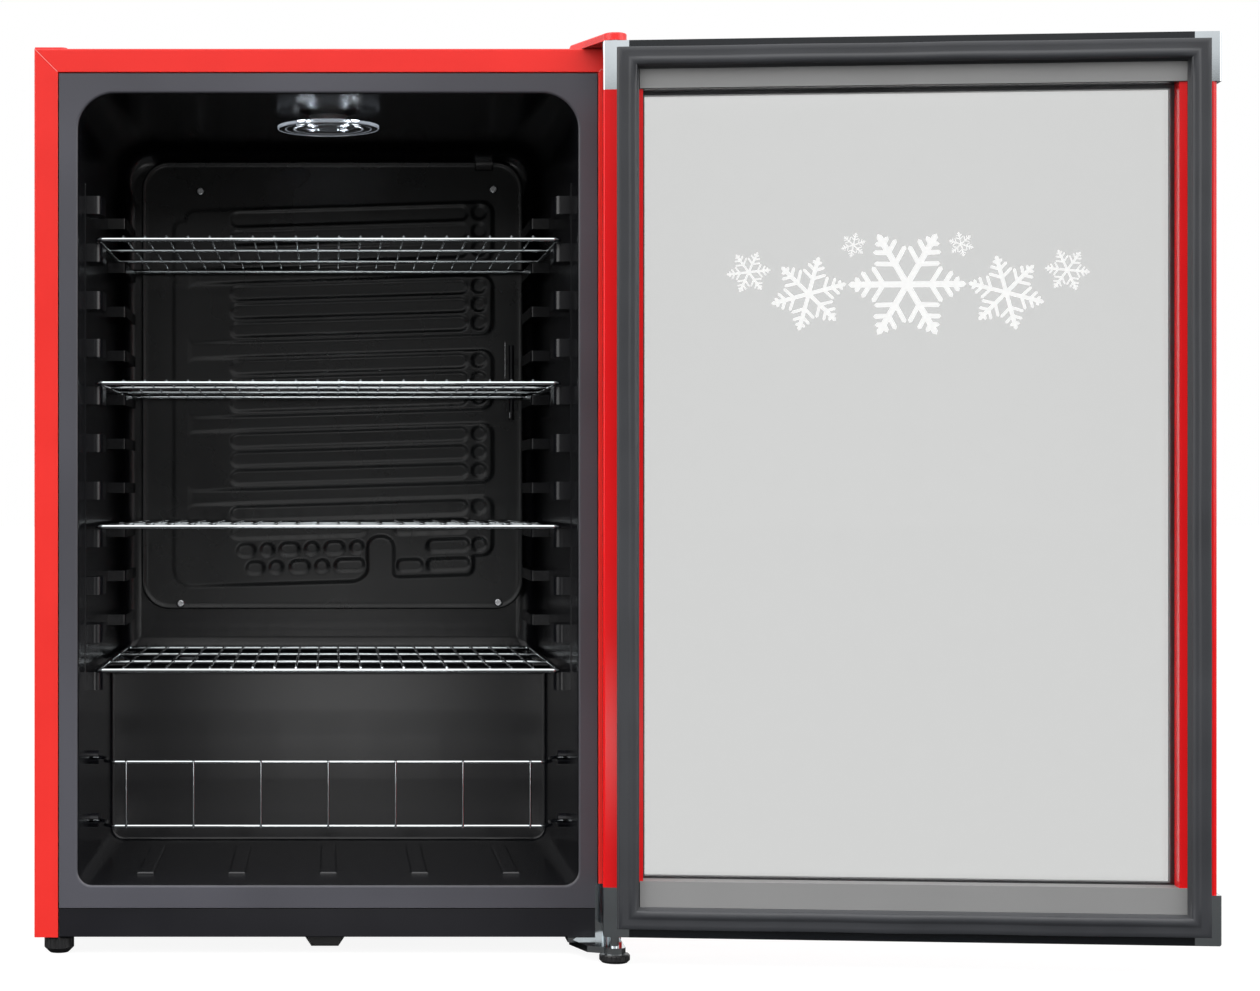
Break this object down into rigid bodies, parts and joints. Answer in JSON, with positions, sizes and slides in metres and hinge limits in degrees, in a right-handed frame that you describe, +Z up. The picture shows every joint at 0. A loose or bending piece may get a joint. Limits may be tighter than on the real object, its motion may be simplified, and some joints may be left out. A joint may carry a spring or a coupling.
{
  "type": "mini fridge",
  "caption": "Glass-door drinks cooler with red shell, black ribbed liner, wire shelves on moulded ledges, can rail, ceiling lamp and swinging framed glass door, stored open.",
  "frame": {"origin": "centre of the sole of the levelling foot under the door hinge, which is where the door's hinge axis meets the floor", "axes": "+Z up along the door hinge axis, -Y out of the cabinet's open front, +X from the cabinet towards the opened door, the longest extent; Y is the shortest extent"},
  "size_m": [1.0672, 0.5937, 0.847],
  "materials": {
    "red_paint": "satin red powder coat",
    "red_plastic": "gloss red",
    "door_red": "gloss red painted extrusion",
    "liner_black": "fine-grained black vacuum-formed sheet",
    "black_plastic": "fine satin",
    "rail_black": "satin black",
    "foam": "rigid polyurethane foam",
    "galvanised": "zinc-coated sheet",
    "black_steel": "satin black",
    "chrome": "bright plated",
    "zinc": "bright zinc",
    "evap_black": "semi-gloss black coated aluminium",
    "lens_clear": "clear moulded",
    "lamp_white": "white",
    "lamp_board": "white circuit board with lit LEDs",
    "knob_grey": "satin",
    "rocker_red": "gloss",
    "comp_black": "gloss black enamel",
    "rubber": "matte",
    "copper": "drawn copper tube",
    "tray_grey": "matte",
    "foot_black": "satin",
    "cap_chrome": "plated plastic",
    "gasket_grey": "soft matte magnetic seal",
    "strip_grey": "flat mid grey",
    "glass": "clear float glass",
    "spacer": "satin",
    "bush": "natural acetal",
    "screw": "zinc-plated"
  },
  "bodies": {
    "cabinet": {"outer_wrap": "red_paint", "back_panel": "galvanised", "bay_panel": "galvanised", "base_pan": "galvanised", "compressor_plate": "galvanised", "kick_panel": "black_plastic", "base_bracket": "black_steel", "inner_liner": "liner_black", "insulation_foam": "foam", "shelf_support_left": "liner_black", "shelf_support_right": "liner_black", "can_rail_sockets": "black_plastic", "evaporator_plate": "evap_black", "evaporator_screws": "screw", "sensor_clip": "black_plastic", "lamp_base": "lamp_white", "lamp_board": "lamp_board", "lamp_lens": "lens_clear", "control_box": "black_plastic", "compressor_shell": "comp_black", "compressor_mounts": "rubber", "compressor_bolts": "screw", "compressor_terminal_box": "black_plastic", "condenser_tube": "black_steel", "condenser_wires": "black_steel", "condenser_brackets": "black_plastic", "filter_drier": "copper", "refrigerant_pipes": "copper", "drip_tray": "tray_grey", "drain_tube": "tray_grey", "cord_gland": "rubber", "rear_feet": "foot_black", "top_hinge_plate": "zinc", "top_hinge_pin": "zinc", "top_hinge_cover": "red_plastic", "spare_hinge_cover": "red_plastic", "bottom_hinge_bracket": "chrome", "bottom_hinge_pin": "chrome", "hinge_screws": "screw"},
    "door": {"hinge_stile": "door_red", "handle_stile": "door_red", "top_rail": "rail_black", "bottom_rail": "rail_black", "corner_caps": "cap_chrome", "hinge_bushes": "bush", "gasket": "gasket_grey", "glazing_strips": "strip_grey", "outer_glass": "glass", "inner_glass": "glass", "glass_spacer": "spacer"},
    "knob": {"thermostat_knob": "knob_grey"},
    "rocker": {"light_switch_rocker": "rocker_red"},
    "left_foot": {"left_foot_knob": "foot_black", "left_foot_stud": "zinc"},
    "hinge_foot": {"hinge_foot": "foot_black"},
    "shelf_1": {"shelf_1": "chrome"},
    "shelf_2": {"shelf_2": "chrome"},
    "shelf_3": {"shelf_3": "chrome"},
    "shelf_4": {"shelf_4": "chrome"},
    "can_rail": {"can_rail": "chrome"}
  },
  "joints": [
    {"name": "door_hinge", "type": "hinge", "parent": "cabinet", "child": "door", "pos_m": [0, 0, 0.43], "axis": [0, 0, 1], "range_deg": [-175, 5]},
    {"name": "shelf_1_slide", "type": "slide", "parent": "cabinet", "child": "shelf_1", "axis": [0, -1, 0], "range_m": [0, 0.33]},
    {"name": "shelf_2_slide", "type": "slide", "parent": "cabinet", "child": "shelf_2", "axis": [0, -1, 0], "range_m": [0, 0.33]},
    {"name": "shelf_3_slide", "type": "slide", "parent": "cabinet", "child": "shelf_3", "axis": [0, -1, 0], "range_m": [0, 0.33]},
    {"name": "shelf_4_slide", "type": "slide", "parent": "cabinet", "child": "shelf_4", "axis": [0, -1, 0], "range_m": [0, 0.33]},
    {"name": "can_rail_slide", "type": "slide", "parent": "cabinet", "child": "can_rail", "axis": [0, -1, 0], "range_m": [0, 0.11]},
    {"name": "left_foot_lift", "type": "slide", "parent": "cabinet", "child": "left_foot", "axis": [0, 0, -1], "range_m": [0, 0.012]},
    {"name": "hinge_foot_lift", "type": "slide", "parent": "cabinet", "child": "hinge_foot", "axis": [0, 0, -1], "range_m": [0, 0.004]},
    {"name": "thermostat_turn", "type": "hinge", "parent": "cabinet", "child": "knob", "pos_m": [-0.4995, 0.491, 0.16], "axis": [0, 1, 0], "range_deg": [0, 300]},
    {"name": "light_switch_rock", "type": "hinge", "parent": "cabinet", "child": "rocker", "pos_m": [-0.4555, 0.48, 0.16], "axis": [-1, 0, 0], "range_deg": [0, 10]}
  ]
}
